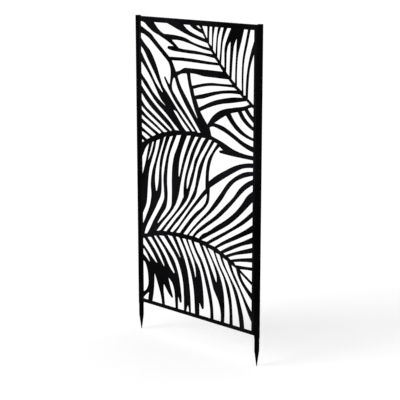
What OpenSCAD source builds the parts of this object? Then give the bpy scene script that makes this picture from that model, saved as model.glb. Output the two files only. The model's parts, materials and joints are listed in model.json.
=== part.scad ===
// Garden privacy screen: a cut steel panel between two square posts with ground spikes.
// Origin at ground level, midway between the posts; the front faces -Y and +Z is up.

/* [Screen] */
// Width over both posts
screen_w = 1000; // [850:10:1200]
// Height of the panel
panel_h = 1800; // [1500:10:2000]
// Height of the panel's lower edge above the ground
ground_gap = 15; // [8:1:60]

/* [Posts] */
// Side of the square post tube
post_side = 25; // [25:1:40]
// Wall of the post tube
post_wall = 1.2; // [1:0.1:1.5]
// Outer corner radius of the post tube
post_corner = 2.5; // [2:0.1:3.5]

/* [Panel] */
// Thickness of the panel sheet
sheet_t = 1.5; // [1:0.1:2]
// Depth of the folded edges, measured from the front face of the sheet
fold_depth = 20; // [18:0.5:22]
// Inside radius of the folds
fold_radius = 1.5; // [1:0.1:2.5]
// Distance of the sheet's front face behind the front of the posts
setback = 1; // [0:0.1:3]
// Plain strip of sheet from a post to the leaf openings
side_strip = 22; // [16:1:30]
// Plain strip of sheet above the leaf openings
top_strip = 30; // [16:1:40]
// Plain strip of sheet below the leaf openings
bottom_strip = 26; // [16:1:40]

/* [Post caps] */
// Height of the cap's head above the tube
cap_h = 5; // [3:0.5:8]
// Chamfer around the top of the cap's head
cap_chamfer = 1.6; // [0.5:0.1:2.5]
// Depth of the cap's plug inside the tube
cap_plug = 20; // [16:1:30]
// Wall of the cap's plug
cap_wall = 1.6; // [1:0.1:2.5]
// Play on each side between the tube and the plug's body
cap_play = 0.7; // [0.4:0.1:1.2]
// Play on each side between the tube and the plug's gripping ribs
rib_play = 0.05; // [0.02:0.01:0.2]
// Thickness of a gripping rib
rib_t = 1; // [0.6:0.1:1.6]
// Number of gripping ribs
rib_count = 3; // [1:1:3]

/* [Ground spikes] */
// Play on each side between the post tube and the spike
spike_play = 0.25; // [0.1:0.05:0.3]
// Wall of the spike
spike_wall = 1.5; // [1:0.1:1.8]
// Corner radius of the spike
spike_corner = 2; // [2:0.1:3]
// Length of the spike below the post
spike_out = 170; // [140:5:250]
// Length of the spike inside the post
spike_in = 100; // [80:5:110]
// Length of the pointed end
spike_taper = 100; // [60:5:125]
// Width of the blunt tip
spike_tip = 3; // [2.5:0.5:4]
// Length of solid metal behind the blunt tip
spike_solid = 12; // [10:1:20]

/* [Fasteners] */
// Screws along each side of the panel
screws_per_side = 5; // [3:1:7]
// Distance of the outer screws from the ends of the panel
screw_margin = 120; // [110:5:250]
// Thread diameter of the screws
thread_d = 6; // [5:0.5:6]
// Diameter of a screw's domed head
head_d = 10.5; // [9:0.1:12]
// Height of a screw's domed head
head_h = 3.3; // [2.5:0.1:4]
// Width across flats of the socket in a screw's head
socket_af = 4; // [3:0.5:4]
// Depth of the socket in a screw's head
socket_depth = 2; // [1.5:0.1:2.3]
// Length of a panel screw under its head
panel_screw_l = 16; // [12:1:18]
// Length of a spike screw under its head
spike_screw_l = 12; // [10:1:16]
// Clearance around a screw in a plain hole, on the radius
hole_play = 0.3; // [0.2:0.05:0.5]
// Clearance around a screw in a nut's bore, on the radius
thread_play = 0.05; // [0.03:0.01:0.1]
// Outer diameter of a washer
washer_d = 12; // [11:0.5:13]
// Thickness of a washer
washer_t = 1.6; // [1:0.1:2]
// Diameter of a rivet nut's flange
rivet_flange_d = 13; // [12:0.5:14]
// Thickness of a rivet nut's flange, which spaces the panel from the post
rivet_flange_t = 1.5; // [1:0.1:2]
// Diameter of a rivet nut's body
rivet_body_d = 9; // [8.5:0.1:9.5]
// Diameter of a rivet nut's swaged bulge behind the post wall
rivet_bulge_d = 11.5; // [10.5:0.1:12]
// Length of a rivet nut's swaged bulge
rivet_bulge_l = 4; // [3:0.5:5]
// Length of a rivet nut behind its flange
rivet_l = 13; // [11:0.5:15]
// Clearance of a rivet nut in the post wall, on the radius
rivet_play = 0.05; // [0.03:0.01:0.1]
// Height of a spike's screw above the ground
spike_screw_z = 50; // [30:1:60]
// Width across flats of the nut welded inside a spike
weld_nut_af = 10; // [9:0.5:11]
// Thickness of the nut welded inside a spike
weld_nut_t = 5; // [4:0.5:6]

/* [Hidden] */
$fn = 48;

// Height of the posts' upper ends, flush with the top of the panel
post_h = ground_gap + panel_h;
// Inner width of the post tube
bore_side = post_side - 2 * post_wall;
// Distance of each post's axis from the middle of the screen
post_x = screen_w / 2 - post_side / 2;
// Distance of each post's inner face from the middle of the screen
post_face_x = screen_w / 2 - post_side;
// Half the width of the panel, which stops at the rivet nuts' flanges
panel_x = post_face_x - rivet_flange_t;
// Outside radius of a fold
bend_r = fold_radius + sheet_t;
// Side of the square spike
spike_side = bore_side - 2 * spike_play;
// Depth of the sheet's front face
front_y = -post_side / 2 + setback;
// Depth of the panel screws, midway along the flat of the folded edges
screw_y = front_y + (bend_r + fold_depth) / 2;
// Heights of the panel screws
screw_first_z = ground_gap + screw_margin;
screw_pitch = (panel_h - 2 * screw_margin) / (screws_per_side - 1);
screw_heights = [for (i = [0 : screws_per_side - 1]) screw_first_z + i * screw_pitch];
// Length by which a cut runs past the wall that it goes through
past = 1;
// Bend of a curved cut that one chord spans, in degrees
chord_bend = 3.5;
// Length below which the chords of a curved cut aren't split further
chord_min = 3;

// The leaf openings are drawn on a screen of this width and panel height, and stretched to the real one.
// Points are [distance from the screen's left edge, height above the panel's lower edge].
// An opening is a ring of curves: each is smooth through its own points, and corners lie between them.
// Openings that meet the border run past it and are trimmed by it.
drawn_w = 1000;
drawn_h = 1800;

// Upper left frond: long blades falling from the top left to the middle rib
upper_left_leaves = [
    [[[36, 1755], [48, 1769], [70, 1766], [110, 1739], [150, 1714], [200, 1696], [260, 1671], [323, 1640]],
     [[290, 1638], [276, 1635], [273, 1626], [290, 1616]],
     [[330, 1610], [450, 1605], [560, 1603], [655, 1592]],
     [[680, 1569], [600, 1571], [480, 1577], [400, 1578], [288, 1575]],
     [[288, 1575], [234, 1618], [164, 1675], [138, 1699], [100, 1718], [36, 1750]]],
    [[[33, 1702], [60, 1698], [100, 1682], [175, 1627], [250, 1567], [282, 1538], [297, 1500], [296, 1450],
      [289, 1411]],
     [[285, 1411], [257, 1448]],
     [[257, 1448], [248, 1455], [243, 1446]],
     [[243, 1446], [274, 1392], [325, 1320], [400, 1245], [497, 1151]],
     [[478, 1149], [423, 1199], [347, 1274], [268, 1360], [236, 1392], [209, 1445], [188, 1495], [163, 1545],
      [125, 1600], [75, 1643], [33, 1688]]],
    [[[35, 1632], [65, 1604], [110, 1539], [163, 1465], [200, 1407], [232, 1358]],
     [[224, 1359], [180, 1400], [129, 1473], [74, 1548], [33, 1610]]],
    [[[40, 1535], [65, 1511], [125, 1442], [170, 1377], [213, 1315], [251, 1281]],
     [[246, 1281], [198, 1311], [145, 1354], [102, 1403], [47, 1460], [35, 1480]]],
    [[[37, 1434], [60, 1404], [107, 1357], [175, 1289], [250, 1237], [310, 1187], [368, 1141]],
     [[335, 1140], [287, 1187], [217, 1237], [137, 1297], [72, 1356], [35, 1398]]],
    [[[40, 1345], [75, 1305], [129, 1257], [197, 1211], [306, 1137]],
     [[295, 1129], [210, 1180], [140, 1222], [75, 1264], [35, 1313]]],
    [[[37, 1265], [70, 1239], [140, 1196], [215, 1153], [268, 1122]],
     [[238, 1116], [165, 1160], [90, 1202], [37, 1242]]],
    [[[35, 1209], [75, 1187], [150, 1149], [216, 1112]],
     [[200, 1102], [142, 1129], [67, 1169], [35, 1187]]],
    [[[35, 1158], [90, 1133], [168, 1092]],
     [[140, 1080], [100, 1098], [35, 1134]]],
    [[[35, 1103], [65, 1094], [118, 1069]],
     [[90, 1055], [65, 1069], [35, 1086]]],
    [[[35, 1052], [64, 1041], [35, 1028]]],
    [[[322, 1452], [332, 1452]],
     [[335, 1446], [354, 1399], [387, 1346], [426, 1291], [475, 1233], [543, 1149]],
     [[522, 1147], [480, 1194], [415, 1264], [344, 1341], [310, 1389], [311, 1420], [322, 1450]]],
    [[[357, 1466], [378, 1477], [429, 1486]],
     [[432, 1484], [446, 1421], [470, 1345], [499, 1272], [520, 1232]],
     [[514, 1234], [482, 1276], [438, 1335], [398, 1387], [371, 1430], [357, 1466]]],
    [[[323, 1260], [338, 1255], [379, 1216], [414, 1184], [454, 1147]],
     [[427, 1144], [399, 1167], [359, 1214], [323, 1254]]]
];

// Top frond: blades to the left of its slanting rib
top_left_leaves = [
    [[[158, 1785], [272, 1785]],
     [[272, 1770], [350, 1742], [450, 1709], [520, 1691], [598, 1674]],
     [[615, 1648], [550, 1658], [480, 1673], [425, 1693], [360, 1703], [245, 1707]],
     [[245, 1707], [225, 1715], [158, 1772]]],
    [[[405, 1785], [455, 1785]],
     [[455, 1771], [480, 1754], [520, 1739], [560, 1725]],
     [[579, 1700], [530, 1711], [480, 1726], [440, 1743], [409, 1766]]],
    [[[508, 1785], [528, 1785]],
     [[530, 1770], [549, 1753]],
     [[530, 1757], [512, 1768]]],
    [[[310, 1675], [350, 1677], [450, 1664], [550, 1641], [625, 1630]],
     [[640, 1615], [590, 1617], [500, 1625], [400, 1628], [368, 1631]],
     [[368, 1631], [340, 1653], [310, 1675]]],
    [[[310, 1554], [400, 1557], [600, 1553], [690, 1553]],
     [[719, 1522], [600, 1522], [420, 1520]],
     [[405, 1516], [380, 1502], [344, 1491]],
     [[341, 1494], [326, 1525], [310, 1553]]],
    [[[461, 1490], [510, 1489], [560, 1482], [650, 1481], [762, 1480]],
     [[790, 1454], [700, 1451], [620, 1449], [550, 1437], [475, 1419]],
     [[475, 1419], [467, 1450], [461, 1490]]],
    [[[485, 1400], [530, 1413], [600, 1428], [700, 1436], [805, 1437]],
     [[828, 1425], [760, 1419], [650, 1401], [560, 1378], [496, 1363]]],
    [[[510, 1342], [560, 1350], [620, 1369], [700, 1391], [780, 1402], [850, 1403]],
     [[870, 1387], [800, 1382], [720, 1367], [650, 1348], [600, 1328], [530, 1296]]],
    [[[543, 1275], [600, 1300], [700, 1332], [800, 1350], [900, 1370]],
     [[922, 1355], [900, 1345], [800, 1323], [720, 1304], [672, 1281], [631, 1247], [601, 1207]],
     [[597, 1206], [568, 1239], [543, 1272]]]
];

// Top frond: blades that rise from its rib to the upper edge
top_right_leaves = [
    [[[553, 1785], [597, 1785]],
     [[597, 1770], [596, 1705]],
     [[592, 1705], [573, 1738], [554, 1775]]],
    [[[616, 1785], [634, 1785]],
     [[634, 1770], [632, 1660]],
     [[612, 1675], [612, 1720], [616, 1770]]],
    [[[655, 1785], [681, 1785]],
     [[680, 1770], [669, 1710], [662, 1618]],
     [[643, 1640], [644, 1700], [656, 1770]]],
    [[[707, 1785], [725, 1785]],
     [[723, 1770], [705, 1700], [698, 1640], [692, 1583]],
     [[676, 1601], [677, 1650], [682, 1710], [703, 1770]]],
    [[[760, 1785], [786, 1785]],
     [[780, 1770], [750, 1710], [733, 1665], [730, 1600], [730, 1543]],
     [[706, 1565], [710, 1620], [720, 1695], [737, 1740], [752, 1770]]],
    [[[777, 1694], [775, 1650], [771, 1570], [768, 1500]],
     [[745, 1522], [747, 1590], [751, 1645], [762, 1678], [775, 1694]]],
    [[[824, 1712], [820, 1640], [814, 1550], [812, 1464]],
     [[786, 1486], [791, 1560], [797, 1630], [806, 1680], [821, 1712]]],
    [[[883, 1785], [911, 1785]],
     [[906, 1770], [887, 1690], [869, 1610], [863, 1530], [864, 1424]],
     [[828, 1448], [828, 1540], [837, 1630], [857, 1695], [879, 1770]]],
    [[[930, 1785], [970, 1785]],
     [[970, 1747], [946, 1692], [916, 1600], [899, 1510], [893, 1402]],
     [[878, 1402], [876, 1500], [883, 1600], [906, 1690], [926, 1770]]],
    [[[970, 1683], [970, 1342]],
     [[911, 1385], [914, 1460], [926, 1560], [944, 1615], [960, 1655]]]
];

// Right frond: blades that hang from the end of the top rib to the right edge
right_leaves = [
    [[[912, 1329], [942, 1339]],
     [[970, 1320], [970, 1273]],
     [[955, 1285], [928, 1308], [912, 1328]]],
    [[[866, 1309], [886, 1315]],
     [[888, 1313], [907, 1292], [970, 1238]],
     [[970, 1218], [925, 1246], [889, 1277], [866, 1308]]],
    [[[782, 1288], [834, 1301]],
     [[837, 1299], [855, 1272], [889, 1241], [970, 1198]],
     [[970, 1162], [900, 1182], [849, 1213], [804, 1255], [782, 1287]]],
    [[[657, 1220], [700, 1247], [741, 1270]],
     [[746, 1269], [779, 1233], [834, 1189], [902, 1160], [970, 1146]],
     [[970, 1112], [880, 1135], [800, 1174], [720, 1208], [657, 1218]]],
    [[[617, 1188], [632, 1194], [700, 1184], [800, 1145], [880, 1106], [970, 1078]],
     [[970, 1064], [900, 1065], [800, 1083], [720, 1114], [631, 1140]]],
    [[[697, 1083], [720, 1068]],
     [[705, 1064], [694, 1061], [694, 1052], [705, 1047]],
     [[705, 1047], [800, 1041], [970, 1037]],
     [[970, 1023], [900, 1014], [820, 990], [740, 950], [650, 897], [611, 867]],
     [[611, 873], [613, 920], [628, 985], [658, 1045], [695, 1083]]]
];

// Middle frond: blades that hang from the middle rib
middle_leaves = [
    [[[107, 1028], [92, 975], [76, 915], [56, 855], [44, 822]],
     [[35, 834], [35, 920]],
     [[57, 958], [77, 997], [105, 1028]]],
    [[[151, 1047], [136, 1000], [119, 960], [100, 927]],
     [[98, 929], [113, 972], [127, 1010], [138, 1043]]],
    [[[203, 1068], [191, 1020], [163, 940], [133, 860], [120, 780], [124, 710], [112, 650], [80, 578],
      [45, 512]],
     [[37, 560], [52, 590], [81, 650], [90, 710], [97, 790], [110, 870], [133, 935], [161, 1005],
      [174, 1056]]],
    [[[256, 1092], [231, 1025], [204, 945], [194, 870], [188, 805], [174, 744]],
     [[166, 744], [158, 810], [166, 880], [188, 950], [213, 1015], [241, 1084]]],
    [[[315, 1102], [286, 1040], [260, 970], [242, 900], [231, 825], [235, 760], [235, 705], [217, 665],
      [174, 600], [140, 550], [109, 495], [82, 457]],
     [[60, 454], [75, 495], [107, 550], [143, 605], [184, 675], [209, 725], [216, 790], [217, 880],
      [235, 965], [262, 1035], [290, 1094]]],
    [[[383, 1115], [354, 1045], [325, 985], [309, 920], [303, 830], [302, 720], [297, 670], [264, 622],
      [223, 580], [179, 539]],
     [[177, 543], [216, 600], [254, 654], [266, 712], [263, 820], [272, 920], [289, 990], [318, 1052],
      [347, 1109]]],
    [[[464, 1121], [432, 1050], [405, 985], [383, 915], [368, 862]],
     [[361, 862], [363, 905], [372, 970], [399, 1045], [434, 1117]]],
    [[[526, 1120], [500, 1080], [467, 1020], [439, 940], [413, 860], [403, 800], [402, 740]],
     [[396, 731], [358, 669], [312, 616], [262, 565], [202, 500]],
     [[168, 488], [200, 527], [248, 579], [302, 636], [339, 690], [363, 750], [374, 800], [389, 860],
      [413, 940], [450, 1028], [500, 1119]]],
    [[[583, 1121], [554, 1080], [525, 1025], [497, 980], [480, 920], [457, 860], [445, 820], [434, 795]],
     [[429, 797], [432, 850], [450, 908], [479, 978], [508, 1045], [553, 1119]]],
    [[[634, 1115], [599, 1060], [560, 1000], [528, 940], [510, 870], [492, 800], [471, 760], [434, 702],
      [390, 650], [336, 594], [290, 541], [252, 501]],
     [[228, 500], [284, 564], [335, 619], [388, 675], [438, 738], [461, 800], [484, 860], [506, 935],
      [533, 1000], [574, 1060], [612, 1114]]],
    [[[677, 1100], [643, 1053], [606, 1000], [591, 950], [584, 880], [583, 820]],
     [[582, 816], [562, 797], [516, 745], [459, 680], [408, 618], [352, 549], [308, 505]],
     [[288, 507], [305, 530], [358, 586], [411, 646], [471, 718], [504, 763], [522, 820], [541, 880],
      [560, 940], [585, 1003], [622, 1060], [654, 1105]]],
    [[[595, 788], [592, 765], [581, 733], [556, 703], [503, 661], [460, 618], [410, 561], [368, 511]],
     [[338, 509], [365, 541], [412, 598], [462, 655], [521, 718], [573, 771], [592, 788]]]
];

// Lower frond: blades that rise from the lower rib to the right edge
lower_right_leaves = [
    [[[401, 511], [434, 550], [483, 607], [545, 665], [590, 710], [610, 740], [617, 780], [619, 822]],
     [[623, 831], [700, 881], [800, 941], [880, 981], [970, 995]],
     [[970, 974], [900, 964], [820, 925], [761, 879], [713, 820], [660, 754], [603, 685], [547, 632],
      [491, 578], [431, 511]]],
    [[[448, 511], [480, 545], [541, 603], [600, 654], [655, 704], [711, 765], [769, 844], [820, 894],
      [880, 925], [970, 953]],
     [[970, 935], [913, 908], [858, 866], [801, 797], [739, 738], [661, 666], [560, 592], [508, 549],
      [475, 511]]],
    [[[498, 511], [522, 535], [562, 564], [602, 594], [682, 650], [760, 719], [807, 767], [860, 823],
      [900, 860], [970, 905]],
     [[970, 870], [908, 822], [874, 776], [822, 718], [760, 666], [668, 606], [602, 560], [561, 539],
      [528, 506]]],
    [[[552, 500], [602, 530], [695, 584], [775, 634], [851, 696], [901, 744], [970, 812]],
     [[970, 760], [900, 696], [822, 637], [742, 586], [642, 528], [594, 497]]],
    [[[613, 486], [668, 518], [734, 558], [800, 599], [880, 649], [970, 721]],
     [[970, 674], [895, 621], [815, 574], [714, 517], [658, 479]]],
    [[[678, 473], [741, 508], [828, 551], [894, 586], [970, 624]],
     [[970, 599], [880, 551], [787, 508], [704, 460]]],
    [[[729, 451], [788, 480], [868, 520], [970, 556]],
     [[970, 534], [868, 496], [782, 461], [745, 444]]],
    [[[769, 434], [814, 454], [893, 478], [970, 500]],
     [[970, 471], [893, 453], [814, 433], [787, 424]]],
    [[[812, 414], [860, 425], [970, 441]],
     [[970, 411], [900, 404], [825, 399]]],
    [[[862, 380], [900, 385], [970, 390]],
     [[970, 312], [910, 348], [866, 374]]]
];

// Lower frond: blades that hang from the lower rib to the bottom edge
lower_leaves = [
    [[[863, 358], [910, 328], [970, 291]],
     [[970, 242], [903, 294], [873, 332], [863, 356]]],
    [[[792, 394], [826, 381]],
     [[830, 376], [841, 343], [865, 304], [899, 265], [970, 194]],
     [[970, 120], [922, 180], [877, 248], [834, 316], [808, 358], [794, 393]]],
    [[[723, 424], [758, 411]],
     [[761, 407], [783, 363], [816, 308], [855, 254], [890, 192], [926, 122], [970, 54]],
     [[970, 12], [899, 12]],
     [[898, 27], [888, 100], [866, 170], [836, 244], [777, 328], [739, 388], [723, 424]]],
    [[[666, 444], [695, 437]],
     [[700, 432], [719, 390], [767, 320], [801, 260], [831, 180], [851, 100], [864, 12]],
     [[808, 12], [804, 90], [795, 180], [775, 255], [738, 320], [700, 376], [666, 444]]],
    [[[603, 462], [647, 451]],
     [[652, 442], [687, 370], [732, 298], [755, 230], [775, 150], [781, 80], [780, 12]],
     [[738, 12], [740, 130], [729, 230], [700, 311], [653, 386], [603, 462]]],
    [[[560, 470], [582, 466]],
     [[586, 460], [631, 396], [661, 338], [676, 292], [675, 264]],
     [[670, 264], [648, 308], [601, 396], [560, 470]]],
    [[[489, 478], [528, 477]],
     [[533, 473], [561, 425], [601, 350], [629, 276], [650, 215], [690, 147], [708, 90], [709, 12]],
     [[652, 12], [646, 110], [621, 220], [591, 303], [551, 382], [513, 432], [489, 478]]],
    [[[438, 482], [464, 482]],
     [[467, 476], [499, 418], [538, 360], [566, 296], [587, 230], [609, 155], [623, 85], [625, 12]],
     [[534, 12], [534, 102]],
     [[536, 102], [546, 86], [553, 73], [560, 68], [568, 73], [571, 90]],
     [[571, 110], [566, 180], [553, 260], [537, 312], [498, 372], [464, 428], [438, 482]]],
    [[[390, 482], [417, 482]],
     [[421, 478], [454, 418], [485, 359], [502, 305], [504, 259]],
     [[499, 259], [489, 297], [464, 355], [428, 415], [390, 482]]],
    [[[335, 482], [362, 482]],
     [[368, 477], [417, 396], [446, 324], [471, 250], [486, 175], [493, 100], [497, 12]],
     [[463, 12], [460, 100], [450, 200], [433, 290], [402, 370], [368, 428], [335, 482]]],
    [[[264, 479], [304, 478]],
     [[309, 470], [349, 410], [376, 357]],
     [[371, 358], [322, 414], [264, 478]]],
    [[[190, 463], [232, 467]],
     [[237, 462], [295, 402], [344, 343], [376, 276], [394, 210], [402, 120], [403, 12]],
     [[352, 12], [352, 99]],
     [[356, 99], [363, 83], [368, 71], [374, 67], [381, 71], [383, 90]],
     [[383, 105], [373, 175], [356, 250], [318, 333], [257, 397], [190, 463]]],
    [[[145, 454], [162, 455]],
     [[168, 451], [231, 391], [279, 327], [324, 253]],
     [[318, 245], [283, 279], [242, 339], [192, 398], [145, 452]]],
    [[[88, 434], [115, 440]],
     [[122, 437], [162, 393], [205, 335], [235, 281]],
     [[231, 273], [202, 308], [156, 364], [117, 403], [88, 432]]],
    [[[35, 419], [58, 422]],
     [[64, 417], [107, 371], [152, 316], [171, 287]],
     [[165, 284], [133, 307], [81, 355], [35, 393]]],
    [[[35, 365], [62, 344], [88, 313], [105, 283]],
     [[98, 281], [72, 303], [35, 328]]],
    [[[35, 280], [57, 271], [79, 232], [89, 180], [88, 123], [72, 92], [35, 66]]],
    [[[35, 12], [35, 22]],
     [[50, 37], [71, 58], [93, 76]],
     [[94, 73], [89, 45], [85, 12]]],
    [[[149, 209], [166, 172], [190, 112], [205, 65], [212, 12]],
     [[122, 12], [135, 70], [143, 130], [146, 205]]],
    [[[230, 157], [250, 132], [278, 99], [296, 85]],
     [[296, 85], [304, 84], [308, 93]],
     [[305, 103], [287, 150], [270, 203]],
     [[274, 205], [298, 185], [317, 145], [326, 80], [331, 12]],
     [[239, 12], [231, 80], [226, 130], [228, 156]]],
    [[[437, 65], [443, 50], [445, 12]],
     [[421, 12], [428, 45], [435, 65]]]
];

leaf_openings = [
    each upper_left_leaves,
    each top_left_leaves,
    each top_right_leaves,
    each right_leaves,
    each middle_leaves,
    each lower_right_leaves,
    each lower_leaves
];

// Length and direction of the step from point i to the next one
function step_len(p, i) = norm(p[i + 1] - p[i]);
function step_dir(p, i) = (p[i + 1] - p[i]) / step_len(p, i);

// Direction in which a smooth curve passes inner point i
function inner_dir(p, i) =
    (step_dir(p, i) * step_len(p, i - 1) + step_dir(p, i - 1) * step_len(p, i))
    / (step_len(p, i) + step_len(p, i - 1));

// Direction at any point, the two ends included
function curve_dir(p, i) =
    i == 0 ? 1.5 * step_dir(p, 0) - 0.5 * inner_dir(p, 1)
    : i == len(p) - 1 ? 1.5 * step_dir(p, i - 1) - 0.5 * inner_dir(p, i - 1)
    : inner_dir(p, i);

// Point at t, from 0 to 1, between points i and i + 1 of a smooth curve
function curve_point(p, i, t) =
    p[i] * (2 * t * t * t - 3 * t * t + 1)
    + curve_dir(p, i) * step_len(p, i) * (t * t * t - 2 * t * t + t)
    + p[i + 1] * (3 * t * t - 2 * t * t * t)
    + curve_dir(p, i + 1) * step_len(p, i) * (t * t * t - t * t);

// Angle between two directions
function angle_between(a, b) = acos(min(1, a * b / (norm(a) * norm(b))));

// Bend of a smooth curve between points i and i + 1, taken at its more curved end
function step_bend(p, i) =
    2 * max(
        angle_between(curve_dir(p, i), step_dir(p, i)),
        angle_between(step_dir(p, i), curve_dir(p, i + 1))
    );

// Number of chords between points i and i + 1
function chord_count(p, i) = max(1, ceil(min(step_bend(p, i) / chord_bend, step_len(p, i) / chord_min)));

// Smooth curve through the points p, as chords; two points make a straight line
function curve(p) = len(p) < 3 ? p : [
    for (i = [0 : len(p) - 2])
        let (chords = chord_count(p, i))
            for (k = [0 : chords - 1]) curve_point(p, i, k / chords),
    p[len(p) - 1]
];

// A leaf opening's outline on the real panel, from its ring of curves
function leaf_outline(ring) = [
    for (p = ring)
        for (q = curve(p)) [(q[0] / drawn_w - 0.5) * screen_w, q[1] / drawn_h * panel_h]
];

// Points of a square with rounded corners
function rounded_points(side, r, steps = 8) = [
    for (corner = [0 : 3])
        for (k = [0 : steps])
            let (
                turn = 90 * (corner + k / steps),
                middle = 45 + 90 * corner,
                reach = (side / 2 - r) * sqrt(2)
            )
                [reach * cos(middle) + r * cos(turn), reach * sin(middle) + r * sin(turn)]
];

module rounded_square(side, r) {
    polygon(rounded_points(side, r));
}

module tube(side, wall, r, length) {
    linear_extrude(length)
        difference() {
            rounded_square(side, r);
            rounded_square(side - 2 * wall, r - wall);
        }
}

// Places a piece of the left post, or its mirror image at the right
module at_side(right) {
    if (right)
        mirror([1, 0, 0]) children();
    else
        children();
}

// Cylinder along +X that starts at x
module rod_x(r, x, length) {
    translate([x, 0, 0])
        rotate([0, 90, 0])
            cylinder(r = r, h = length);
}

// Domed head with a hexagon socket, standing on the XY plane
module screw_head() {
    dome_r = (head_d * head_d / 4 + head_h * head_h) / (2 * head_h);
    difference() {
        intersection() {
            cylinder(d = head_d, h = head_h);
            translate([0, 0, head_h - dome_r]) sphere(dome_r);
        }
        translate([0, 0, head_h - socket_depth])
            cylinder(d = socket_af / cos(30), h = socket_depth + past, $fn = 6);
    }
}

// Button-head screw, its head above the XY plane and its shank below
module screw(length) {
    union() {
        screw_head();
        translate([0, 0, -length]) cylinder(d = thread_d, h = length);
    }
}

// The cut face of the panel, flat between its four folds
module leaf_face() {
    window_w = 2 * (post_face_x - side_strip);
    translate([0, front_y + sheet_t, ground_gap])
        rotate([90, 0, 0])
            linear_extrude(sheet_t)
                difference() {
                    translate([-panel_x + bend_r, bend_r])
                        square([2 * (panel_x - bend_r), panel_h - 2 * bend_r]);
                    intersection() {
                        translate([-window_w / 2, bottom_strip])
                            square([window_w, panel_h - top_strip - bottom_strip]);
                        union() {
                            for (ring = leaf_openings) polygon(leaf_outline(ring));
                        }
                    }
                }
}

// Folded edge, its outer side on the YZ plane: a bend mitred at both corners, and a leg that runs back
module fold(length) {
    outer_z = length / 2 + past;
    inner_z = length / 2 - bend_r - past;
    mitred = [[past, outer_z], [past, -outer_z], [-bend_r - past, -inner_z], [-bend_r - past, inner_z]];
    union() {
        intersection() {
            translate([-bend_r, bend_r, -length / 2])
                linear_extrude(length)
                    intersection() {
                        difference() {
                            circle(bend_r);
                            circle(fold_radius);
                        }
                        translate([0, -bend_r]) square(bend_r);
                    }
            translate([0, bend_r + past, 0])
                rotate([90, 0, 0])
                    linear_extrude(bend_r + 2 * past) polygon(mitred);
        }
        translate([-sheet_t, bend_r, -length / 2])
            linear_extrude(length)
                square([sheet_t, fold_depth - bend_r]);
    }
}

module screen_panel() {
    color("black")
        difference() {
            union() {
                leaf_face();
                translate([0, front_y, ground_gap + panel_h / 2])
                    for (side = [0 : 3])
                        let (
                            upright = side % 2 == 0,
                            reach = upright ? panel_x : panel_h / 2,
                            across = upright ? panel_h : 2 * panel_x
                        )
                            rotate([0, 90 * side, 0])
                                translate([reach, 0, 0]) fold(across);
            }
            for (z = screw_heights)
                for (side = [-1, 1])
                    translate([side * (panel_x - sheet_t / 2), screw_y, z])
                        rotate([0, 90, 0])
                            cylinder(r = thread_d / 2 + hole_play, h = sheet_t + 2 * past, center = true);
        }
}

// Left post, with a hole for each rivet nut and one for the spike's screw
module post() {
    color("black")
        difference() {
            translate([-post_x, 0, 0]) tube(post_side, post_wall, post_corner, post_h);
            for (z = screw_heights)
                translate([0, screw_y, z])
                    rod_x(
                        rivet_body_d / 2 + rivet_play, -post_face_x - post_wall - past,
                        post_wall + 2 * past
                    );
            translate([-post_x, bore_side / 2 - past, spike_screw_z])
                rotate([-90, 0, 0])
                    cylinder(r = thread_d / 2 + hole_play, h = post_wall + 2 * past);
        }
}

// Solid that has the child outline seen from the front and also seen from the side
module for_both_ways(width) {
    intersection() {
        rotate([90, 0, 0]) linear_extrude(width, center = true) children();
        rotate([0, 0, 90]) rotate([90, 0, 0]) linear_extrude(width, center = true) children();
    }
}

// Head of a post cap, square with its upper edges chamfered
module cap_head() {
    half = post_side / 2;
    chamfered = [
        [-half, 0], [half, 0], [half, cap_h - cap_chamfer],
        [half - cap_chamfer, cap_h], [-half + cap_chamfer, cap_h], [-half, cap_h - cap_chamfer]
    ];
    intersection() {
        linear_extrude(cap_h) rounded_square(post_side, post_corner);
        for_both_ways(post_side) polygon(chamfered);
    }
}

// Left post cap: a head on the tube's end and a ribbed hollow plug inside the tube
module post_cap() {
    plug_side = bore_side - 2 * cap_play;
    rib_pitch = (cap_plug - rib_t) / rib_count;
    color("#161616")
        translate([-post_x, 0, post_h])
            union() {
                cap_head();
                translate([0, 0, -cap_plug])
                    linear_extrude(cap_plug)
                        difference() {
                            square(plug_side, center = true);
                            square(plug_side - 2 * cap_wall, center = true);
                        }
                for (i = [0 : rib_count - 1])
                    translate([0, 0, -cap_plug + i * rib_pitch])
                        linear_extrude(rib_t)
                            difference() {
                                rounded_square(bore_side - 2 * rib_play, post_corner - post_wall);
                                square(plug_side - 2 * cap_wall, center = true);
                            }
            }
}

// Square bar with a four-sided point that ends at the given depth
module pointed_bar(side, r, top, depth, taper, tip) {
    pointed = [
        [-side / 2, top], [-side / 2, -depth + taper], [-tip / 2, -depth],
        [tip / 2, -depth], [side / 2, -depth + taper], [side / 2, top]
    ];
    intersection() {
        translate([0, 0, -depth]) linear_extrude(top + depth) rounded_square(side, r);
        for_both_ways(side) polygon(pointed);
    }
}

// Left ground spike: a tube pressed to a closed point, held in the post's lower end
module ground_spike() {
    // Width that each side of the point gains per unit of its length
    flare = (spike_side - spike_tip) / spike_taper;
    bore = spike_side - 2 * spike_wall;
    bore_tip = spike_tip + flare * spike_solid - 2 * spike_wall;
    bore_depth = spike_out - spike_solid;
    color("black")
        translate([-post_x, 0, 0])
            difference() {
                pointed_bar(spike_side, spike_corner, spike_in, spike_out, spike_taper, spike_tip);
                pointed_bar(
                    bore, spike_corner - spike_wall, spike_in + past, bore_depth,
                    (bore - bore_tip) / flare, bore_tip
                );
                translate([0, bore / 2 - past, spike_screw_z])
                    rotate([-90, 0, 0])
                        cylinder(r = thread_d / 2 + hole_play, h = spike_wall + 2 * past);
            }
}

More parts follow.
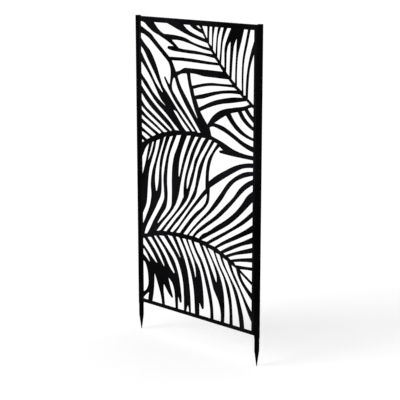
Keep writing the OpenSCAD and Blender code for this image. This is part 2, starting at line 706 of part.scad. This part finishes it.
// Rivet nut along the Z axis: its flange below the XY plane, its swaged body above
module rivet_nut() {
    bore = thread_d / 2 + thread_play;
    flange = rivet_flange_d / 2;
    body = rivet_body_d / 2;
    bulge = rivet_bulge_d / 2;
    bulge_end = post_wall + rivet_bulge_l;
    rotate_extrude()
        polygon([
            [bore, -rivet_flange_t], [flange, -rivet_flange_t], [flange, 0], [body, 0], [body, post_wall],
            [bulge, post_wall], [bulge, bulge_end], [body, bulge_end], [body, rivet_l], [bore, rivet_l]
        ]);
}

// Left rivet nuts, set in the post's inner wall
module rivet_nuts() {
    color("silver")
        for (z = screw_heights)
            translate([-post_face_x, screw_y, z])
                rotate([0, -90, 0]) rivet_nut();
}

// Left washers, under the heads of the panel screws
module panel_washers() {
    color("silver")
        for (z = screw_heights)
            translate([0, screw_y, z])
                difference() {
                    rod_x(washer_d / 2, -panel_x + sheet_t, washer_t);
                    rod_x(thread_d / 2 + hole_play, -panel_x + sheet_t - past, washer_t + 2 * past);
                }
}

// Left panel screws, driven outwards through the panel's fold into the rivet nuts
module panel_screws() {
    color("silver")
        for (z = screw_heights)
            translate([-panel_x + sheet_t + washer_t, screw_y, z])
                rotate([0, 90, 0]) screw(panel_screw_l);
}

// Left spike's nut, welded to the inside of its rear wall
module spike_nut() {
    color("silver")
        translate([-post_x, spike_side / 2 - spike_wall, spike_screw_z])
            rotate([90, 0, 0])
                difference() {
                    cylinder(d = weld_nut_af / cos(30), h = weld_nut_t, $fn = 6);
                    translate([0, 0, -past])
                        cylinder(r = thread_d / 2 + thread_play, h = weld_nut_t + 2 * past);
                }
}

// Left spike's washer, on the rear of the post
module spike_washer() {
    color("silver")
        translate([-post_x, post_side / 2, spike_screw_z])
            rotate([-90, 0, 0])
                difference() {
                    cylinder(d = washer_d, h = washer_t);
                    translate([0, 0, -past]) cylinder(r = thread_d / 2 + hole_play, h = washer_t + 2 * past);
                }
}

// Left spike's screw, driven forwards through the washer and the post's rear wall
module spike_screw() {
    color("silver")
        translate([-post_x, post_side / 2 + washer_t, spike_screw_z])
            rotate([-90, 0, 0]) screw(spike_screw_l);
}

screen_panel();
at_side(false) post();  // left_post
at_side(true) post();  // right_post
at_side(false) post_cap();  // left_post_cap
at_side(true) post_cap();  // right_post_cap
at_side(false) ground_spike();  // left_ground_spike
at_side(true) ground_spike();  // right_ground_spike
at_side(false) rivet_nuts();  // left_rivet_nuts
at_side(true) rivet_nuts();  // right_rivet_nuts
at_side(false) panel_washers();  // left_panel_washers
at_side(true) panel_washers();  // right_panel_washers
at_side(false) panel_screws();  // left_panel_screws
at_side(true) panel_screws();  // right_panel_screws
at_side(false) spike_nut();  // left_spike_nut
at_side(true) spike_nut();  // right_spike_nut
at_side(false) spike_washer();  // left_spike_washer
at_side(true) spike_washer();  // right_spike_washer
at_side(false) spike_screw();  // left_spike_screw
at_side(true) spike_screw();  // right_spike_screw
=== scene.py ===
import json
import math

import bpy
from mathutils import Matrix, Vector


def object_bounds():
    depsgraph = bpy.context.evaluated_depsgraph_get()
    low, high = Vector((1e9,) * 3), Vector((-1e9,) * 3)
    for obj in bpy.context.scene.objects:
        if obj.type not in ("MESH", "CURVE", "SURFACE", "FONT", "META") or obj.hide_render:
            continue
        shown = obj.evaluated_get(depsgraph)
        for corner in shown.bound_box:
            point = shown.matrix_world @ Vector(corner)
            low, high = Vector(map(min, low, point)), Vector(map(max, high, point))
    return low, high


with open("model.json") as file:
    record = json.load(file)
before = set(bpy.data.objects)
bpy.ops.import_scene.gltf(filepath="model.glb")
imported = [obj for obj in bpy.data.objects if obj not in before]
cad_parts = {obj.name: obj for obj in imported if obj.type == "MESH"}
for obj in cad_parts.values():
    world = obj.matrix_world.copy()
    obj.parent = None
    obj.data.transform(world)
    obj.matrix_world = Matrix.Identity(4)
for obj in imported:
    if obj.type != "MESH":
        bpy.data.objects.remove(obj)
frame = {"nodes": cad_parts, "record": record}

cad_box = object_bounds()
scene = bpy.context.scene
scene.view_settings.view_transform = "Standard"

# Camera: the photograph's viewing angle, from the front right and a little above
AZIMUTH, ELEVATION = math.radians(43.66), math.radians(12.99)
DISTANCE = 7.194
TARGET = Vector((0.0289, 0.0, 0.7548))
LENS_MM, SENSOR_MM = 108.84, 36.0
# Farthest distance that the camera sees, past the floor's corners
CLIP_END = 200.0

BLACK, WHITE = (0.0, 0.0, 0.0), (1.0, 1.0, 1.0)
# Range that holds nearly all values of a noise
NOISE_RANGE = (0.3, 0.7)

# Powder coat: the scale of a texture is about its number of spots in a metre
# The coat's sheen is painted sheen: a slow noise makes the base colour lighter and bluer in broad patches,
# in place of reflections
PAINTED_SHEEN_SCALE, GLOSS_SCALE = 2.6, 60.0
PEBBLE_SCALE, GRAIN_SCALE = 1250.0, 1400.0
# Values of the painted sheen's noise at which the coat's base colour is darkest and lightest
PAINTED_SHEEN_RANGE = (0.4, 0.66)
# Distances from a pebble's middle at which it is highest and lowest, as shares of the pebbles' pitch
PEBBLE_RANGE = (0.05, 0.5)
# Share of the pebbles that have no painted glint
NO_PAINTED_GLINT_SHARE = 0.3
# Strength of the painted glints in a dark and in a light part of the painted sheen
PAINTED_GLINT_RANGE = (0.3, 1.0)
COAT_ROUGHNESS = (0.42, 0.56)
# Height of the skin's pebbles, and the grain's height on them as a share of it
SKIN_HEIGHT, GRAIN_SHARE = 0.0002, 0.5

# Scuffs on a spike: they end this high above its tip, and fade out over this length
SCUFF_LENGTH, SCUFF_FADE = 0.06, 0.05
# Scratches in a metre across and along the spike, and the values of their noise from coat to bare metal
SCRATCH_SCALE = (700.0, 700.0, 60.0)
SCRATCH_RANGE = (0.58, 0.66)
BARE_METAL = (0.075, 0.073, 0.07)

# Floor: half its side, its distance below the tips, its colour, and its own light for the rays that see it
FLOOR_HALF, FLOOR_GAP = 80.0, 0.0005
FLOOR_COLOR, FLOOR_GLOW = (0.97, 0.97, 0.97), 0.30

# Light from all around, and a soft key light from the front left
WORLD_LIGHT = 0.55
KEY_LIGHT, KEY_ANGLE = 1.7, math.radians(35.0)
KEY_FROM = Vector((-0.5, -1.0, 0.5))


def add_camera():
    flat = math.cos(ELEVATION)
    back = Vector((math.sin(AZIMUTH) * flat, -math.cos(AZIMUTH) * flat, math.sin(ELEVATION)))
    right = Vector((math.cos(AZIMUTH), math.sin(AZIMUTH), 0.0))
    up = back.cross(right)
    camera_data = bpy.data.cameras.new("camera")
    camera_data.sensor_width = SENSOR_MM
    camera_data.lens = LENS_MM
    camera_data.clip_end = CLIP_END
    camera = bpy.data.objects.new("camera", camera_data)
    turn = Matrix((right, up, back)).transposed().to_4x4()
    camera.matrix_world = Matrix.Translation(TARGET + back * DISTANCE) @ turn
    scene.collection.objects.link(camera)
    scene.camera = camera


def opaque(color):
    return (*color, 1.0)


def new_material(name):
    """A material, its node tree and its principled shader"""
    material = bpy.data.materials.new(name)
    material.use_nodes = True
    tree = material.node_tree
    return material, tree, tree.nodes["Principled BSDF"]


def add(tree, kind, values=None, inputs=None, **settings):
    """A node with its settings, its input values and its input links"""
    node = tree.nodes.new(kind)
    for key, value in settings.items():
        setattr(node, key, value)
    for key, value in (values or {}).items():
        node.inputs[key].default_value = value
    for key, socket in (inputs or {}).items():
        tree.links.new(socket, node.inputs[key])
    return node


def calculate(tree, operation, first, second):
    """The result of one operation on two sockets"""
    return add(
        tree, "ShaderNodeMath", operation=operation, inputs={0: first, 1: second}
    ).outputs["Value"]


def ramp(tree, source, span, colors):
    """A colour ramp over source, between the two ends of span"""
    node = add(tree, "ShaderNodeValToRGB", inputs={"Fac": source})
    for element, position, color in zip(node.color_ramp.elements, span, colors):
        element.position = position
        element.color = opaque(color)
    return node.outputs["Color"]


def remap(tree, source, span, result):
    """source, brought from one span of numbers to another"""
    return add(
        tree, "ShaderNodeMapRange",
        values={"From Min": span[0], "From Max": span[1], "To Min": result[0], "To Max": result[1]},
        inputs={"Value": source},
    ).outputs["Result"]


def noise(tree, place, scale, detail, roughness=0.5):
    return add(
        tree, "ShaderNodeTexNoise",
        values={"Scale": scale, "Detail": detail, "Roughness": roughness}, inputs={"Vector": place},
    ).outputs["Fac"]


def voronoi(tree, place, scale):
    return add(tree, "ShaderNodeTexVoronoi", values={"Scale": scale}, inputs={"Vector": place})


def dress(tree, shader, color, roughness, relief, strength, height):
    """Links a colour, a roughness and a relief of the given height to the shader"""
    bump = add(
        tree, "ShaderNodeBump", values={"Strength": strength, "Distance": height}, inputs={"Height": relief}
    )
    tree.links.new(color, shader.inputs["Base Color"])
    tree.links.new(roughness, shader.inputs["Roughness"])
    tree.links.new(bump.outputs["Normal"], shader.inputs["Normal"])


def add_painted_glints(tree, color, pebbles, height, painted_sheen, painted_glint):
    """Painted glints: lighter specks painted into the base colour on the pebbles, of a different strength
    on each, and strongest where the painted sheen is light
    """
    chance = add(tree, "ShaderNodeSeparateColor", inputs={"Color": pebbles.outputs["Color"]}).outputs["Red"]
    level = calculate(tree, "MULTIPLY", height, remap(tree, chance, (NO_PAINTED_GLINT_SHARE, 1.0), (0.0, 1.0)))
    level = calculate(tree, "MULTIPLY", level, remap(tree, painted_sheen, PAINTED_SHEEN_RANGE, PAINTED_GLINT_RANGE))
    painted_speck = ramp(tree, level, (0.0, 1.0), (BLACK, painted_glint))
    return add(
        tree, "ShaderNodeMix", data_type="RGBA", blend_type="ADD",
        values={"Factor": 1.0}, inputs={"A": color, "B": painted_speck},
    ).outputs["Result"]


def add_scuffs(tree, color, place):
    """Scratches to the bare metal, near the spikes' tips"""
    level = add(tree, "ShaderNodeSeparateXYZ", inputs={"Vector": place}).outputs["Z"]
    top = cad_box[0][2] + SCUFF_LENGTH
    near_tip = remap(tree, level, (top - SCUFF_FADE, top), (1.0, 0.0))
    stretched = add(tree, "ShaderNodeMapping", values={"Scale": SCRATCH_SCALE}, inputs={"Vector": place})
    scratches = noise(tree, stretched.outputs["Vector"], 1.0, 4.0, 0.7)
    bare = calculate(tree, "MULTIPLY", near_tip, remap(tree, scratches, SCRATCH_RANGE, (0.0, 1.0)))
    return add(
        tree, "ShaderNodeMix", data_type="RGBA",
        values={"B": opaque(BARE_METAL)}, inputs={"Factor": bare, "A": color},
    ).outputs["Result"]


def powder_coat(name, dark, light, painted_glint, specular, scuffed=False):
    """Black powder coat: a fine pebbled skin, with painted glints and a broad painted sheen from dark to
    light in its base colour
    """
    material, tree, shader = new_material(name)
    place = add(tree, "ShaderNodeTexCoord").outputs["Object"]
    painted_sheen = noise(tree, place, PAINTED_SHEEN_SCALE, 6.0, 0.55)
    grain = noise(tree, place, GRAIN_SCALE, 2.0, 0.6)
    gloss = noise(tree, place, GLOSS_SCALE, 3.0)
    pebbles = voronoi(tree, place, PEBBLE_SCALE)
    height = remap(tree, pebbles.outputs["Distance"], PEBBLE_RANGE, (1.0, 0.0))
    # Painted sheen: the base colour goes from dark to light over a slow noise
    color = ramp(tree, painted_sheen, PAINTED_SHEEN_RANGE, (dark, light))
    # Painted glints: lighter specks of base colour on the pebbles
    color = add_painted_glints(tree, color, pebbles, height, painted_sheen, painted_glint)
    if scuffed:
        color = add_scuffs(tree, color, place)
    skin = add(
        tree, "ShaderNodeMath", operation="MULTIPLY_ADD",
        values={1: GRAIN_SHARE}, inputs={0: grain, 2: height},
    ).outputs["Value"]
    roughness = remap(tree, gloss, NOISE_RANGE, COAT_ROUGHNESS)
    dress(tree, shader, color, roughness, skin, 0.4, SKIN_HEIGHT)
    shader.inputs["Specular IOR Level"].default_value = specular
    return material


def moulded_plastic(name):
    """Black plastic with the fine grain of a moulding tool"""
    material, tree, shader = new_material(name)
    place = add(tree, "ShaderNodeTexCoord").outputs["Object"]
    cloud = noise(tree, place, 120.0, 3.0)
    grain = voronoi(tree, place, 2600.0).outputs["Distance"]
    color = ramp(tree, cloud, NOISE_RANGE, ((0.0014, 0.0014, 0.0014), (0.0030, 0.0030, 0.0030)))
    roughness = remap(tree, cloud, NOISE_RANGE, (0.5, 0.62))
    dress(tree, shader, color, roughness, grain, 0.25, 0.0001)
    shader.inputs["Specular IOR Level"].default_value = 0.04
    return material


def zinc_plate(name):
    """Bright zinc plate: cool grey, with dull patches and faint pits"""
    material, tree, shader = new_material(name)
    place = add(tree, "ShaderNodeTexCoord").outputs["Object"]
    cloud = noise(tree, place, 260.0, 4.0, 0.6)
    pits = noise(tree, place, 3200.0, 2.0)
    color = ramp(tree, cloud, NOISE_RANGE, ((0.30, 0.31, 0.33), (0.46, 0.47, 0.49)))
    roughness = remap(tree, cloud, NOISE_RANGE, (0.24, 0.42))
    dress(tree, shader, color, roughness, pits, 0.2, 0.00005)
    shader.inputs["Metallic"].default_value = 1.0
    return material


def seen_rays(tree):
    """1 for the rays that see the backdrop, also in a reflection, and 0 for those that light the object"""
    rays = add(tree, "ShaderNodeLightPath")
    seen = rays.outputs["Is Camera Ray"]
    for kind in ("Is Glossy Ray", "Is Transmission Ray"):
        seen = calculate(tree, "MAXIMUM", seen, rays.outputs[kind])
    return seen


def add_floor(z):
    """A plain pale plane that keeps the object's shadow"""
    mesh = bpy.data.meshes.new("floor")
    corners = [(x * FLOOR_HALF, y * FLOOR_HALF, z) for x, y in ((-1, -1), (1, -1), (1, 1), (-1, 1))]
    mesh.from_pydata(corners, [], [(0, 1, 2, 3)])
    floor = bpy.data.objects.new("floor", mesh)
    scene.collection.objects.link(floor)
    material, tree, shader = new_material("floor")
    shader.inputs["Base Color"].default_value = opaque(FLOOR_COLOR)
    shader.inputs["Roughness"].default_value = 0.9
    shader.inputs["Specular IOR Level"].default_value = 0.0
    level = add(
        tree, "ShaderNodeMath", operation="MULTIPLY", values={1: FLOOR_GLOW}, inputs={0: seen_rays(tree)}
    ).outputs["Value"]
    glow = add(tree, "ShaderNodeEmission", values={"Color": opaque(WHITE)}, inputs={"Strength": level})
    both = add(tree, "ShaderNodeAddShader", inputs={0: shader.outputs["BSDF"], 1: glow.outputs["Emission"]})
    tree.links.new(both.outputs["Shader"], tree.nodes["Material Output"].inputs["Surface"])
    mesh.materials.append(material)


def add_world():
    """Plain white where it is seen, and a plain level of light on the object"""
    world = bpy.data.worlds.new("studio")
    scene.world = world
    world.use_nodes = True
    tree = world.node_tree
    light = tree.nodes["Background"]
    light.inputs["Color"].default_value = opaque(WHITE)
    light.inputs["Strength"].default_value = WORLD_LIGHT
    backdrop = add(tree, "ShaderNodeBackground", values={"Color": opaque(WHITE), "Strength": 1.0})
    mix = add(
        tree, "ShaderNodeMixShader",
        inputs={0: seen_rays(tree), 1: light.outputs["Background"], 2: backdrop.outputs["Background"]},
    )
    tree.links.new(mix.outputs["Shader"], tree.nodes["World Output"].inputs["Surface"])


def add_key_light():
    sun_data = bpy.data.lights.new("key", "SUN")
    sun_data.energy = KEY_LIGHT
    sun_data.angle = KEY_ANGLE
    sun = bpy.data.objects.new("key", sun_data)
    sun.rotation_euler = KEY_FROM.to_track_quat("Z", "Y").to_euler()
    scene.collection.objects.link(sun)


add_camera()

# The coat of the posts and spikes is darker than the panel's: painted shade, a darker copy of the same
# black coat
# In each coat, dark and light are the two ends of its painted sheen, and the glint colour is that of its
# painted glints
panel_coat = {
    "dark": (0.0002, 0.0002, 0.0003), "light": (0.0040, 0.0038, 0.0056),
    "painted_glint": (0.027, 0.027, 0.030), "specular": 0.012,
}
tube_coat_painted_darker = {
    "dark": (0.0001, 0.0001, 0.0001), "light": (0.0014, 0.0014, 0.0018),
    "painted_glint": (0.020, 0.020, 0.021), "specular": 0.005,
}
finishes = {
    "panel": powder_coat("panel_coat", **panel_coat),
    "posts": powder_coat("post_coat", **tube_coat_painted_darker),
    "spikes": powder_coat("spike_coat", scuffed=True, **tube_coat_painted_darker),
    "caps": moulded_plastic("cap_plastic"),
    "fasteners": zinc_plate("zinc"),
}
slots = {part["node"]: part["material_slot"] for part in frame["record"]["subparts"]}
for name, node in frame["nodes"].items():
    for slot in node.material_slots:
        slot.material = finishes[slots[name]]

add_floor(cad_box[0][2] - FLOOR_GAP)
add_world()
add_key_light()
